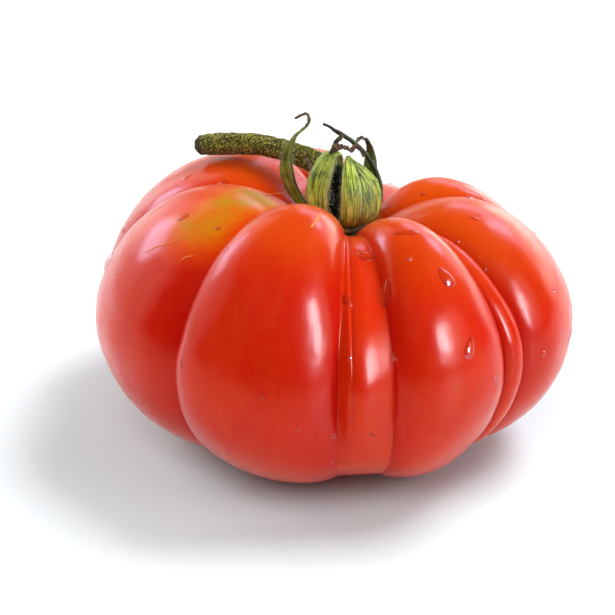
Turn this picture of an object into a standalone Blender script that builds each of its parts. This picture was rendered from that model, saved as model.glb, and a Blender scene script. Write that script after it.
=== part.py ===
"""A ribbed beefsteak tomato, as picked: the fruit, its calyx of curling sepals, and its stem.

The fruit stands on small flats under its lobes. +Z is up, -Y is the side that shows best, and the origin
lies on the ground under the middle of the whole object's box. Driving sizes are in millimetres and degrees.
An azimuth is 0 towards -Y and grows towards +X.
"""

import math

import bmesh
import bpy
from mathutils import Vector

MM = 0.001

# Where the fruit's stem axis stands from the origin.
AXIS_X = 2.8
AXIS_Y = -1.5

# The fruit: a flattened ball with a pit at the stem end and a shallow dimple at the blossom end.
HALF_HEIGHT = 31.5
CENTRE_HEIGHT = 31.3
PROFILE_SWAY = 0.63  # the profile's exponent is 2 at the waist, this much less at the top and more below
PIT_DEPTH = 11.5
PIT_RADIUS = 19.0
THROAT_DEPTH = 3.6  # a narrower hollow in the pit's floor, which the calyx sits in
THROAT_RADIUS = 9.0
DIMPLE_DEPTH = 1.6
DIMPLE_RADIUS = 7.0
BULGE_FADE = 1.4  # how fast a lobe flattens out towards both poles
FILL_SPAN = 0.6  # a furrow that fills up below the waist does so over this cosine of the polar angle
FURROW_SHARE = 0.85  # how much of its lobes' extra shoulder height a furrow takes
RINGS = 38

# One row for each lobe, going round: azimuth and reach of the furrow that it starts at, then how far the lobe
# bulges past its furrows, how much higher its shoulder stands, how softly it runs into its first and its last
# furrow (0 is a sharp crease), how far the first furrow fills up below the waist, and how many columns of the
# mesh the lobe has.
LOBES = (
    (-151.0, 59.5, 7.0, 5.0, 0.1, 0.15, 0, 11),
    (-98.0, 55.8, 4.6, 8.0, 0.1, 0.45, 0, 12),
    (-42.5, 54.8, 6.2, 11.0, 0.05, 0.5, 0, 12),
    (-1.5, 52.2, 0.2, 4.5, 0.6, 0.5, 3.0, 3),
    (1.8, 55.2, 0.9, 3.5, 0.3, 0.15, 0, 5),
    (12.0, 52.3, 5.4, 7.0, 0.3, 0.1, 3.0, 10),
    (45.0, 49.6, 2.5, 3.0, 0.1, 0.2, 0, 4),
    (53.5, 49.0, 6.5, 4.0, 0.1, 0.1, 0, 11),
    (99.5, 47.5, 2.2, 6.5, 0.1, 0.1, 0, 9),
    (137.5, 41.0, 4.2, -2.0, 0.1, 0.1, 0, 9),
    (173.5, 46.0, 7.0, 2.5, 0.1, 0.1, 0, 9),
)

# The stem: a path in millimetres from the calyx's seat, and the radius at each of its points.
STEM_PATH = (
    (0.4, 0.8, 2.4),
    (-0.4, 2.0, 8.0),
    (-4.4, 5.2, 11.8),
    (-10.5, 8.6, 14.1),
    (-20.0, 13.5, 15.0),
    (-30.0, 18.5, 13.4),
    (-36.5, 22.0, 11.6),
)
STEM_RADII = (3.2, 2.7, 2.8, 2.6, 2.5, 2.7, 2.3)
STEM_STEPS = 26

# The calyx: a low disc in the pit that the sepals grow from.
DISC_RADIUS = 5.2
DISC_TOP = 1.4  # above the calyx's seat
DISC_RIM = 0.5
DISC_BOTTOM = -1.6
SEPAL_THICKNESS = 0.8
SEPAL_ALONG = 15
SEPAL_ACROSS = 4

# Share of a sepal's full width, from root to tip.
BROAD = (0.55, 0.86, 1.0, 0.92, 0.62, 0.26, 0.16)
STRAP = (0.6, 0.7, 0.95, 1.05, 0.8, 0.24, 0.18, 0.17, 0.16)
BAR = (0.6, 0.9, 0.8, 0.5, 0.42, 0.38, 0.16)
BLADE = (0.5, 0.95, 1.0, 0.62, 0.24, 0.2, 0.16)

# One row for each sepal: azimuth, full width, outline, cupping, turn of the blade at the root and at the
# tip, then its midrib's points as (outwards, upwards, sideways) from the calyx's seat.
SEPALS = (
    (-84.0, 3.1, STRAP, 0.2, 50, 90, (
        (3, 0.6, 0), (8.6, 3.4, -1), (12, 8, -1), (13.9, 13, 0), (14, 18, 0.5), (12.1, 22.8, 1), (9, 26, 1),
        (9.4, 28.4, 1), (12, 27.4, 1),
    )),
    (-110.0, 2.6, BROAD, 0.2, 0, 30, (
        (3, 0.6, 0), (5, 3.6, 0.2), (6.5, 6.5, 0.5), (7.6, 10, 0.8),
        (8.4, 13.2, 1), (9.4, 15, 0.7), (10.6, 16.4, 0),
    )),
    (-50.0, 7.6, BROAD, 0.4, 0, 10, (
        (3, 0.6, 0), (8, 4, 0), (9.9, 8.5, 0), (8.9, 14, 0),
        (5.6, 18.8, 0.3), (3.0, 18.8, 1.5), (3.6, 13.4, 1.8),
    )),
    (9.0, 5.2, BROAD, 0.4, 0, -5, (
        (3, 0.6, 0), (7, 3.2, 0), (8.8, 7, 0), (8.3, 12, 0), (4.8, 15.8, 0), (2.4, 17.2, 0), (1.2, 17.8, 0),
    )),
    (37.0, 3.4, BROAD, 0.4, 0, 0, (
        (3, 0.6, 0), (7, 3.2, 0), (8.6, 6, 0), (8.4, 9.5, 0),
        (6.9, 12.6, 0), (5.7, 13.6, 0), (4.8, 14.2, 0),
    )),
    (64.0, 5.2, BROAD, 0.45, 0, 0, (
        (3, 0.6, 0), (7.3, 3.2, 0), (8.5, 7, 0), (7.6, 12, 0),
        (4.6, 15.2, -0.6), (2.4, 16.8, -1), (1.0, 17.8, -1),
    )),
    (104.0, 4.4, BAR, 0.3, 0, 30, (
        (3, 0.6, 0), (7.6, 3.6, 1), (8.9, 8, 2), (7.7, 12.8, 3),
        (5, 17, 3.8), (1.2, 20.6, 3.6), (-4.7, 24.8, 3.2),
    )),
    (146.0, 4.6, BLADE, 0.3, 0, 0, (
        (3, 0.6, 0), (8, 3, 0), (10, 8, 0), (9.8, 14, -0.5),
        (8.2, 18.6, -0.6), (6.6, 19.8, 0.6), (4.6, 17.4, 1.8),
    )),
    (-172.0, 5.6, BROAD, 0.3, 0, 10, (
        (3, 0.6, 0), (8, 2.6, 0), (12.5, 4, 0), (16, 6.4, 0),
        (18.2, 9.2, 0.5), (17.6, 11.2, 1.5), (15.6, 11.2, 2.4),
    )),
)


def spline(points, share):
    """The point a share of the way along the smooth curve through evenly counted points (Catmull-Rom)."""
    spans = len(points) - 1
    span = min(int(share * spans), spans - 1)
    t = share * spans - span
    before, start, end, after = (
        Vector(points[min(max(k, 0), spans)]) for k in range(span - 1, span + 3)
    )
    return 0.5 * (
        2 * start
        + (end - before) * t
        + (2 * before - 5 * start + 4 * end - after) * t**2
        + (3 * start - before - 3 * end + after) * t**3
    )


def spline_value(values, share):
    """The same smooth curve through plain numbers."""
    return spline([(v, 0, 0) for v in values], share).x


def ease(share):
    return share * share * (3 - 2 * share)


def lobe_at(column):
    """The lobe that a mesh column belongs to, and its share of the way across that lobe.

    Columns gather towards the furrows, where the surface bends most."""
    for lobe, row in enumerate(LOBES):
        columns = row[7]
        if column < columns:
            return lobe, (1 - math.cos(math.pi * column / columns)) / 2
        column -= columns
    raise ValueError("there is no such column")


def fruit_point(lobe, across, polar):
    """A point of the fruit's skin, from its centre: polar is 0 at the stem and pi at the blossom end."""
    azimuth, reach, bulge, rise, soft_first, soft_last, fill, _ = LOBES[lobe]
    next_azimuth, next_reach, _, next_rise, _, _, next_fill, _ = LOBES[(lobe + 1) % len(LOBES)]
    last_rise = LOBES[lobe - 1][3]
    width = (next_azimuth - azimuth) % 360
    angle = math.radians(azimuth + width * across)

    soft = soft_first * (1 - across) + soft_last * across
    arch = math.sqrt(max(4 * across * (1 - across), 0) + soft**2) - soft
    arch /= math.sqrt(1 + soft**2) - soft
    low = ease(min(max(-math.cos(polar) / FILL_SPAN, 0), 1))
    reach += low * fill
    next_reach += low * next_fill
    bulge = max(bulge - low * (fill + next_fill) / 2, 0)
    core = reach + (next_reach - reach) * ease(across)
    furrow_rise = FURROW_SHARE * (
        (rise + last_rise) / 2 * (1 - ease(across)) + (rise + next_rise) / 2 * ease(across)
    )
    shoulder_rise = furrow_rise + (rise - furrow_rise) * arch

    sine, cosine = math.sin(polar), math.cos(polar)
    exponent = 2 - PROFILE_SWAY * cosine
    flat = abs(sine) ** (2 / exponent)
    tall = math.copysign(abs(cosine) ** (2 / exponent), cosine)
    out = flat ** (exponent - 1) / core
    up = math.copysign(abs(tall) ** (exponent - 1), tall) / HALF_HEIGHT
    length = math.hypot(out, up) + 1e-9

    lift = bulge * arch * abs(sine) ** BULGE_FADE
    radius = core * flat + lift * out / length
    height = HALF_HEIGHT * tall + lift * up / length
    if cosine > 0:
        height += shoulder_rise * 4 * sine**2 * cosine**2
        height -= PIT_DEPTH * math.exp(-((radius / PIT_RADIUS) ** 2))
        height -= THROAT_DEPTH * math.exp(-((radius / THROAT_RADIUS) ** 2))
    else:
        height += DIMPLE_DEPTH * math.exp(-((radius / DIMPLE_RADIUS) ** 2))
    return Vector((radius * math.sin(angle), -radius * math.cos(angle), height))


def colour_material(name, colour, roughness, subsurface):
    material = bpy.data.materials.new(name)
    material.use_nodes = True
    shader = material.node_tree.nodes["Principled BSDF"]
    shader.inputs["Base Color"].default_value = (*colour, 1)
    shader.inputs["Roughness"].default_value = roughness
    shader.inputs["Metallic"].default_value = 0
    shader.inputs["Subsurface Weight"].default_value = subsurface
    return material


def new_object(name, mesh, collection, material):
    obj = bpy.data.objects.new(name, mesh)
    collection.objects.link(obj)
    mesh.materials.append(material)
    mesh.shade_smooth()
    return obj


def make_fruit(collection):
    """A UV sphere whose meridians are moved to the lobes' columns, then every vertex to the fruit's skin."""
    columns = sum(row[7] for row in LOBES)
    mesh = bpy.data.meshes.new("fruit")
    bm = bmesh.new()
    bmesh.ops.create_uvsphere(bm, u_segments=columns, v_segments=RINGS, radius=1)
    for vertex in bm.verts:
        turn = math.atan2(vertex.co.x, -vertex.co.y) / math.tau
        column = math.floor(turn * columns + 0.25) % columns
        polar = math.acos(max(-1.0, min(1.0, vertex.co.z)))
        point = fruit_point(*lobe_at(column), polar)
        point += Vector((AXIS_X, AXIS_Y, CENTRE_HEIGHT))
        point.z = max(point.z, 0.0)
        vertex.co = point * MM
    bm.to_mesh(mesh)
    bm.free()
    skin = colour_material("tomato_skin", (0.62, 0.045, 0.012), 0.28, 0.2)
    return new_object("fruit", mesh, collection, skin)


def calyx_seat():
    """The point that the calyx and the stem are placed from: the middle of the pit, just above its floor."""
    return Vector((AXIS_X, AXIS_Y, CENTRE_HEIGHT + HALF_HEIGHT - PIT_DEPTH))


def make_stem(collection):
    """A tube along the stem's path, with a rounded broken end."""
    curve = bpy.data.curves.new("stem", "CURVE")
    curve.dimensions = "3D"
    curve.bevel_depth = MM
    curve.bevel_resolution = 3
    curve.use_fill_caps = True
    line = curve.splines.new("POLY")
    line.points.add(STEM_STEPS)
    for step, point in enumerate(line.points):
        share = step / STEM_STEPS
        place = (spline(STEM_PATH, share) + calyx_seat()) * MM
        point.co = (*place, 1)
        rounding = math.sqrt(max(1 - ((share - 0.94) / 0.075) ** 2, 0.0)) if share > 0.94 else 1
        point.radius = spline_value(STEM_RADII, share) * rounding
    tube = bpy.data.objects.new("tube", curve)
    mesh = bpy.data.meshes.new_from_object(tube)
    mesh.name = "stem"
    bpy.data.objects.remove(tube)
    bpy.data.curves.remove(curve)
    bm = bmesh.new()
    bm.from_mesh(mesh)
    bmesh.ops.remove_doubles(bm, verts=bm.verts, dist=0.00001)
    bm.to_mesh(mesh)
    bm.free()
    return new_object("stem", mesh, collection, colour_material("stem_skin", (0.07, 0.1, 0.018), 0.75, 0.0))


def sepal_point(row, along, across):
    """A point of a sepal's midsurface, from the calyx's seat: along is 0 to 1, across -1 to 1."""
    azimuth, width, outline, cupping, root_turn, tip_turn, path = row
    angle = math.radians(azimuth)
    outwards = Vector((math.sin(angle), -math.cos(angle), 0))
    sideways = Vector((math.cos(angle), math.sin(angle), 0))
    upwards = Vector((0, 0, 1))

    def place(share):
        out, up, side = spline(path, share)
        return outwards * out + upwards * up + sideways * side

    step = 0.01
    forwards = (place(min(along + step, 1)) - place(max(along - step, 0))).normalized()
    level = (sideways - forwards * sideways.dot(forwards)).normalized()
    inwards = forwards.cross(level)
    turn = math.radians(root_turn + (tip_turn - root_turn) * along)
    blade = level * math.cos(turn) + inwards * math.sin(turn)
    face = forwards.cross(blade)
    half = width / 2 * spline_value(outline, along)
    return place(along) + blade * half * across + face * cupping * half * across**2


def make_sepal(name, row, collection):
    mesh = bpy.data.meshes.new(name)
    bm = bmesh.new()
    bmesh.ops.create_grid(bm, x_segments=SEPAL_ACROSS, y_segments=SEPAL_ALONG, size=1)
    for vertex in bm.verts:
        along, across = (vertex.co.y + 1) / 2, vertex.co.x
        vertex.co = (sepal_point(row, along, across) + calyx_seat()) * MM
    bmesh.ops.triangulate(bm, faces=bm.faces)
    bm.to_mesh(mesh)
    bm.free()
    sepal = bpy.data.objects.new(name, mesh)
    collection.objects.link(sepal)
    thickness = sepal.modifiers.new("thickness", "SOLIDIFY")
    thickness.thickness = SEPAL_THICKNESS * MM
    thickness.offset = 0
    return sepal


def make_calyx(collection):
    """The disc, joined with every sepal into one solid."""
    bpy.ops.mesh.primitive_uv_sphere_add(segments=20, ring_count=6, radius=1)
    disc = bpy.context.object
    disc.name = disc.data.name = "calyx"
    for vertex in disc.data.vertices:
        x, y, z = vertex.co
        depth = DISC_TOP - DISC_RIM if z > 0 else DISC_RIM - DISC_BOTTOM
        place = Vector((x * DISC_RADIUS, y * DISC_RADIUS, DISC_RIM + z * depth))
        vertex.co = (place + calyx_seat()) * MM
    for old in list(disc.users_collection):
        old.objects.unlink(disc)
    collection.objects.link(disc)
    disc.data.materials.append(colour_material("sepal_skin", (0.16, 0.22, 0.04), 0.6, 0.1))

    sepals = bpy.data.collections.new("sepals")
    bpy.context.scene.collection.children.link(sepals)
    for number, row in enumerate(SEPALS):
        make_sepal(f"sepal_{number}", row, sepals)
    union = disc.modifiers.new("join sepals", "BOOLEAN")
    union.operation = "UNION"
    union.operand_type = "COLLECTION"
    union.collection = sepals
    union.solver = "MANIFOLD"
    bpy.context.view_layer.objects.active = disc
    bpy.ops.object.modifier_apply(modifier=union.name)
    for sepal in list(sepals.objects):
        bpy.data.objects.remove(sepal)
    bpy.data.collections.remove(sepals)
    return disc


def main():
    for obj in list(bpy.data.objects):
        bpy.data.objects.remove(obj)
    tomato = bpy.data.collections.new("tomato")
    bpy.context.scene.collection.children.link(tomato)
    make_fruit(tomato)
    make_calyx(tomato)
    make_stem(tomato)


main()
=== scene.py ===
"""A ripe ribbed beefsteak tomato with drops of water on it, standing on a white table in soft light."""

import math
import random

import bpy
import numpy as np
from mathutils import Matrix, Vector, noise
from mathutils.bvhtree import BVHTree


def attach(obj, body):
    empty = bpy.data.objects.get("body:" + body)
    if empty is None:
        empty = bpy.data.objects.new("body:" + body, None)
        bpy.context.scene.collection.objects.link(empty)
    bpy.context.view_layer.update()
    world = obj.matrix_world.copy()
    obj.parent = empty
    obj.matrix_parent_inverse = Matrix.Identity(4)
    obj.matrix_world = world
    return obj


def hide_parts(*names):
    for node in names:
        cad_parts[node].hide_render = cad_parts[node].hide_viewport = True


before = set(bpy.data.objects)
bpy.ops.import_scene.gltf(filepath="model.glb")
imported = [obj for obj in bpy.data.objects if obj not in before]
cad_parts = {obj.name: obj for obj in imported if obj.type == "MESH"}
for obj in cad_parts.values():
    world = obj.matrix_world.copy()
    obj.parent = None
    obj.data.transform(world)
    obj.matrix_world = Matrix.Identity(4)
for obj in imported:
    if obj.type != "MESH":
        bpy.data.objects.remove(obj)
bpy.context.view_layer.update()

MM = 0.001

# The same sizes as the CAD solids, in millimetres and degrees. An azimuth is 0 towards -Y and grows towards
# +X. A polar angle is 0 at the top.
AXIS_X = 2.8
AXIS_Y = -1.5
HALF_HEIGHT = 31.5
CENTRE_HEIGHT = 31.3
PROFILE_SWAY = 0.63
PIT_DEPTH = 11.5
PIT_RADIUS = 19.0
THROAT_DEPTH = 3.6
THROAT_RADIUS = 9.0
DIMPLE_DEPTH = 1.6
DIMPLE_RADIUS = 7.0
BULGE_FADE = 1.4
FILL_SPAN = 0.6
FURROW_SHARE = 0.85

# Each lobe's first furrow's azimuth and reach, then the lobe's bulge and how much higher its shoulder
# stands, how softly its skin runs into the furrow before it and the one after it (0 is a sharp crease), and
# how far its first furrow fills up below the waist.
LOBES = (
    (-151.0, 59.5, 7.0, 5.0, 0.1, 0.15, 0),
    (-98.0, 55.8, 4.6, 8.0, 0.1, 0.45, 0),
    (-42.5, 54.8, 6.2, 11.0, 0.05, 0.5, 0),
    (-1.5, 52.2, 0.2, 4.5, 0.6, 0.5, 3.0),
    (1.8, 55.2, 0.9, 3.5, 0.3, 0.15, 0),
    (12.0, 52.3, 5.4, 7.0, 0.3, 0.1, 3.0),
    (45.0, 49.6, 2.5, 3.0, 0.1, 0.2, 0),
    (53.5, 49.0, 6.5, 4.0, 0.1, 0.1, 0),
    (99.5, 47.5, 2.2, 6.5, 0.1, 0.1, 0),
    (137.5, 41.0, 4.2, -2.0, 0.1, 0.1, 0),
    (173.5, 46.0, 7.0, 2.5, 0.1, 0.1, 0),
)
COLUMNS = 400
RINGS = 236
FEWEST_COLUMNS = 12

# The skin's small unevenness: the height of its lumps, how far across they are, and a seed.
LUMPS = ((0.42, 17, 3.1), (0.16, 7, 8.2), (0.05, 2.6, 1.3))

# A lobe that bulges less than this has no deep furrow, so no painted furrow shade darkens its colour.
OPEN_BULGE = 4.5

# The skin's colours. The low skin's painted light, bounced up from the table, fades in between two heights,
# and the shoulder's between two heights along a way that leans to the back right. The patch that ripened
# last fades out round a line between two points.
BOUNCE_LIGHT_HEIGHTS = (26, 8)
BOUNCE_LIGHT_STRENGTH = 0.75
SHOULDER_WAY = (0.25, 0.2, 1.0)
SHOULDER_HEIGHTS = (43, 66)
SHOULDER_STRENGTH = 0.85
PATCH_LINE = ((-29.0, -22.0, 60.5), (-18.5, -12.5, 62.0))
PATCH_RADII = (16.0, 1.0)

# Cork lines the throat and makes a star round the blossom scar. The throat at the back left, where it shows
# between the sepals, is painted nearly black as deep shade.
THROAT_CORK_RADII = (9.2, 6.8)
BLOSSOM_CORK_RADII = (4.6, 2.2)
BLOSSOM_POINTS = 5
BLOSSOM_WAVE = 0.9
THROAT_SHADE_RADII = (13.5, 10.5)
THROAT_SHADE_AZIMUTHS = (-80, -105)

# The middle of the stem from its root to its end, from the calyx's seat, and its radius at even steps.
STEM_PATH = (
    (0.4, 0.8, 2.4),
    (-0.4, 2.0, 8.0),
    (-4.4, 5.2, 11.8),
    (-10.5, 8.6, 14.1),
    (-20.0, 13.5, 15.0),
    (-30.0, 18.5, 13.4),
    (-36.5, 22.0, 11.6),
)
STEM_RADII = (3.2, 2.7, 2.8, 2.6, 2.5, 2.7, 2.3)
STEM_COLUMNS = 40
STEM_RINGS = 200

# Shares along the stem: where its end rounds off and over what span, where it turns dry, and where the
# painted shade of the calyx on it ends. The first and last of the ball's rings close its ends.
END_ROUNDS_FROM = 0.955
END_SPAN = 0.046
DRY_STEM = (0.87, 0.975)
SHADED_STEM = (0.42, 0.26)
STEM_CAP = 0.006
STEM_BODY = 0.988

# Where the calyx sits. What follows for the calyx and the stem is measured from there.
SEAT = Vector((AXIS_X, AXIS_Y, CENTRE_HEIGHT + HALF_HEIGHT - PIT_DEPTH))
SEPAL_THICKNESS = 0.55
SEPAL_COLUMNS = 14
SEPAL_ROWS = 110
VEIN_HEIGHT = 0.13
WAVE_HEIGHT = 0.22
CRINKLE_HEIGHT = 0.38

# Parts of the calyx that are painted nearly black as deep shade: tips that fold in between the others, by
# their distance from the axis and their height, and the root of a sepal behind the stem, by its distance from
# the axis.
FOLDED_FROM = 0.8
FOLDED_RADII = (5.2, 4.2)
FOLDED_HEIGHTS = (17.5, 15.5)
BEHIND_AZIMUTH = -150
BEHIND_RADII = (13.5, 11.0)

DISC_RADIUS = 5.2
DISC_HEIGHT = 0.5
DISC_RISE = 0.9
DISC_SINK = 2.1
DISC_SHADE_RADII = (4.6, 3.6)

# Outlines of sepals: the share of the greatest width at even steps from the root to the tip.
BROAD = (0.55, 0.86, 1.0, 0.92, 0.62, 0.26, 0.12)
STRAP = (0.6, 0.7, 0.95, 1.05, 0.8, 0.22, 0.14, 0.12, 0.08)
BAR = (0.6, 0.9, 0.8, 0.5, 0.42, 0.38, 0.12)
BLADE = (0.5, 0.95, 1.0, 0.62, 0.24, 0.18, 0.1)

# Each sepal's azimuth, width, outline and cupping, how far its blade is turned at the root and at the tip,
# how far along it starts to be dry, how dark its painted shade makes it, and its midrib: outwards, upwards
# and sideways.
SEPALS = (
    (-84.0, 3.1, STRAP, 0.2, 50, 90, 0.72, 0.5, (
        (3, 0.6, 0), (8.6, 3.4, -1), (12, 8, -1), (13.9, 13, 0), (14, 18, 0.5), (12.1, 22.8, 1), (9, 26, 1),
        (9.4, 28.4, 1), (12, 27.4, 1),
    )),
    (-110.0, 2.6, BROAD, 0.2, 0, 30, 0.3, 0.0, (
        (3, 0.6, 0), (5, 3.6, 0.2), (6.5, 6.5, 0.5), (7.6, 10, 0.8),
        (8.4, 13.2, 1), (9.4, 15, 0.7), (10.6, 16.4, 0),
    )),
    (-50.0, 7.6, BROAD, 0.4, 0, 10, 1.1, 0.1, (
        (3, 0.6, 0), (8, 4, 0), (9.9, 8.5, 0), (8.9, 14, 0),
        (5.6, 18.8, 0.3), (3.0, 18.8, 1.5), (3.6, 13.4, 1.8),
    )),
    (9.0, 5.2, BROAD, 0.4, 0, -5, 0.95, 0.0, (
        (3, 0.6, 0), (7, 3.2, 0), (8.8, 7, 0), (8.3, 12, 0), (4.8, 15.8, 0), (2.4, 17.2, 0), (1.2, 17.8, 0),
    )),
    (37.0, 3.4, BROAD, 0.4, 0, 0, 0.8, 0.2, (
        (3, 0.6, 0), (7, 3.2, 0), (8.6, 6, 0), (8.4, 9.5, 0),
        (6.9, 12.6, 0), (5.7, 13.6, 0), (4.8, 14.2, 0),
    )),
    (64.0, 5.2, BROAD, 0.45, 0, 0, 0.95, 0.1, (
        (3, 0.6, 0), (7.3, 3.2, 0), (8.5, 7, 0), (7.6, 12, 0),
        (4.6, 15.2, -0.6), (2.4, 16.8, -1), (1.0, 17.8, -1),
    )),
    (104.0, 4.4, BAR, 0.3, 0, 30, 0.84, 0.95, (
        (3, 0.6, 0), (7.6, 3.6, 1), (8.9, 8, 2), (7.7, 12.8, 3),
        (5, 17, 3.8), (1.2, 20.6, 3.6), (-4.7, 24.8, 3.2),
    )),
    (146.0, 4.6, BLADE, 0.3, 0, 0, 0.55, 0.6, (
        (3, 0.6, 0), (8, 3, 0), (10, 8, 0), (9.8, 14, -0.5),
        (8.2, 18.6, -0.6), (6.6, 19.8, 0.6), (4.6, 17.4, 1.8),
    )),
    (-172.0, 5.6, BROAD, 0.3, 0, 10, 0.7, 0.3, (
        (3, 0.6, 0), (8, 2.6, 0), (12.5, 4, 0), (16, 6.4, 0),
        (18.2, 9.2, 0.5), (17.6, 11.2, 1.5), (15.6, 11.2, 2.4),
    )),
)

# Shrivelled threads that hang between the sepals' tips, in the same terms.
CURLS = (
    (0.0, 1.0, BLADE, 0.3, 0, 120, -0.2, 0.5, (
        (0, 22.4, -0.9), (0.5, 21.4, -2.1), (1.5, 19.8, -3.2), (2.6, 18.3, -3.8),
    )),
    (0.0, 1.3, BROAD, 0.4, 0, 60, -0.2, 0.5, (
        (3.6, 19.2, -3.6), (3, 20.6, -2.2), (2.5, 20.6, -0.3), (2, 19.2, 1.2),
    )),
    (0.0, 0.9, BLADE, 0.3, 40, 0, -0.2, 0.5, (
        (1.4, 19.0, 1.0), (1, 20.2, 2), (1, 19.6, 3), (1.2, 17.8, 4),
    )),
)

# Hairs, by their thickness and their range of lengths.
EDGE_HAIR = 0.042
EDGE_HAIR_LENGTHS = (0.35, 1.25)
FACE_HAIR = 0.034
FACE_HAIR_LENGTHS = (0.3, 0.6)
STEM_HAIR_LENGTHS = (0.3, 0.85)
HAIR_STEPS = 100
STEM_HAIRS = 2600

# The camera looks down by this many degrees, from this far. At the fruit's centre a millimetre takes this
# many of the picture's pixels, and that centre is seen at this pixel.
CAMERA_DROP = 25.0
CAMERA_DISTANCE = 460.0
PIXELS_PER_MM = 4.15
CENTRE_PIXEL = (345.0, 301.5)
PICTURE = 615
SENSOR = 36

# Drops of water: the pixel each is seen at, its width and height there, and its turn, in pixels and degrees.
DROPS = (
    (181, 219, 16, 9, 28), (217, 229, 8, 6, 20), (186, 178, 7, 12, -40), (151, 215, 5, 4, 0),
    (115, 276, 5, 5, 0), (119, 309, 4, 5, 0), (226, 250, 5, 7, 0), (161, 430, 9, 6, -30),
    (181, 366, 5, 15, 0), (216, 452, 7, 5, 0), (228, 454, 6, 5, 0), (237, 464, 5, 4, 0),
    (336, 436, 8, 8, 0), (334, 462, 5, 4, 0), (331, 469, 4, 4, 0), (350, 300, 7, 15, 0),
    (384, 294, 19, 33, -8), (364, 255, 17, 20, 25), (405, 231, 27, 11, 5), (421, 193, 8, 5, 0),
    (484, 200, 15, 8, -12), (446, 276, 17, 25, 35), (470, 347, 14, 24, -20), (394, 355, 11, 12, 0),
    (349, 357, 6, 7, 0), (497, 377, 6, 15, 0), (491, 418, 6, 7, 0), (439, 465, 9, 6, 15),
    (544, 352, 5, 8, 0), (569, 345, 4, 5, 0), (554, 288, 6, 7, 0), (484, 267, 4, 5, 0),
    (473, 217, 11, 7, -15), (409, 258, 5, 5, 0), (456, 240, 5, 6, 0), (300, 430, 4, 5, 0),
    (262, 398, 4, 4, 0),
)

# A drop's height is this share of its smaller half width, and its foot sinks this far into the skin. Smaller
# drops are scattered over the rest of the fruit, at least a gap apart, with half widths from this list.
DROP_HEIGHT = 0.42
DROP_SINK = 0.03
SCATTERED_DROPS = 46
SCATTER_TRIES = 2000
DROP_GAP = 6
DROP_HALF_WIDTHS = (0.5, 0.6, 0.7, 0.9, 1.2, 1.7, 2.3)

# Healed scratches on the skin: the pixels that each runs through, and its greatest width in millimetres.
SCARS = (
    (((319, 214), (316, 220), (310, 228)), 0.75),
    (((145, 254), (156, 248), (166, 245), (178, 241), (190, 236)), 0.17),
    (((180, 262), (186, 258), (193, 257)), 0.15),
    (((262, 196), (276, 194), (290, 192)), 0.15),
)
SCAR_THICKNESS = 0.15

# The button under the fruit: its radii along X and Y, half its height and the height of its middle.
BUTTON_RADII = (3.1, 2.7)
BUTTON_HALF_HEIGHT = 0.4
BUTTON_HEIGHT = 1.35

# Sizes from here on are in metres and watts.
TABLE_SIZE = 6
# How far from the fruit the table is painted cooler, to offset the red light that falls on it from the fruit.
TABLE_TINT_REACH = 0.1
ROOM_BRIGHTNESS = 0.07
WHITE = (1.0, 1.0, 1.0)
WINDOW_BLUE = (0.85, 1.1, 1.75)
SKY_BLUE = (0.8, 1.1, 1.7)

# Soft panels round the fruit: each one's azimuth and elevation, its distance, width, height and power,
# whether it lights surfaces, whether it shows in their gloss, and its colour.
PANELS = (
    ("window_right", 60, 26, 0.8, 0.5, 0.5, 1.9, True, True, WHITE),
    ("window_glint", 47, 24, 0.8, 0.22, 0.34, 8.5, False, True, WINDOW_BLUE),
    ("panel_left", -122, 24, 0.9, 0.7, 0.4, 4.5, True, False, WHITE),
    ("glow_left", -122, 22, 1.0, 1.4, 0.9, 5.2, False, True, WHITE),
    ("shine_left", -128, 24, 1.0, 0.44, 0.28, 2.2, False, True, SKY_BLUE),
    ("panel_back_right", 140, 10, 0.9, 0.8, 0.3, 2.4, True, True, WHITE),
    ("panel_behind", 180, 8, 2.0, 3.0, 0.6, 4.5, True, True, WHITE),
    ("rim_shine", 153, 29, 1.0, 0.9, 0.25, 1.4, False, True, SKY_BLUE),
    ("shine_back", 141, 36, 1.0, 0.22, 0.2, 0.9, False, True, SKY_BLUE),
    ("ceiling", 118, 56, 2.0, 1.1, 0.9, 37, True, False, WHITE),
    ("fill_front", -26, 48, 1.4, 1.2, 0.9, 9.6, True, False, WHITE),
)


def rgb(red, green, blue):
    """A screen colour, 0 to 255, as the linear colour that a shader takes."""
    linear = []
    for value in (red, green, blue):
        share = value / 255
        linear.append(share / 12.92 if share <= 0.04045 else ((share + 0.055) / 1.055) ** 2.4)
    return (*linear, 1.0)


def smooth_step(low, high, value):
    """0 before low and 1 after high, with a soft start and end. High may be the lower of the two."""
    share = np.clip((value - low) / (high - low), 0, 1)
    return share * share * (3 - 2 * share)


def spline(points, share):
    """The point a share of the way along the smooth curve through evenly counted points."""
    spans = len(points) - 1
    span = min(int(share * spans), spans - 1)
    t = share * spans - span
    before, start, end, after = (
        Vector(points[min(max(k, 0), spans)]) for k in range(span - 1, span + 3)
    )
    return 0.5 * (
        2 * start
        + (end - before) * t
        + (2 * before - 5 * start + 4 * end - after) * t**2
        + (3 * start - before - 3 * end + after) * t**3
    )


def spline_value(values, share):
    """The number a share of the way along a list of numbers, on the same kind of curve."""
    return spline([(v, 0, 0) for v in values], share).x


def rough(point, size, seed=0.0):
    """Smooth noise from -1 to 1 whose lumps are about this many millimetres across."""
    return noise.noise(Vector(point) / size + Vector((seed, seed * 1.7, -seed)))


# Materials. Each builder returns a material whose pattern stays on the surface.


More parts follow.
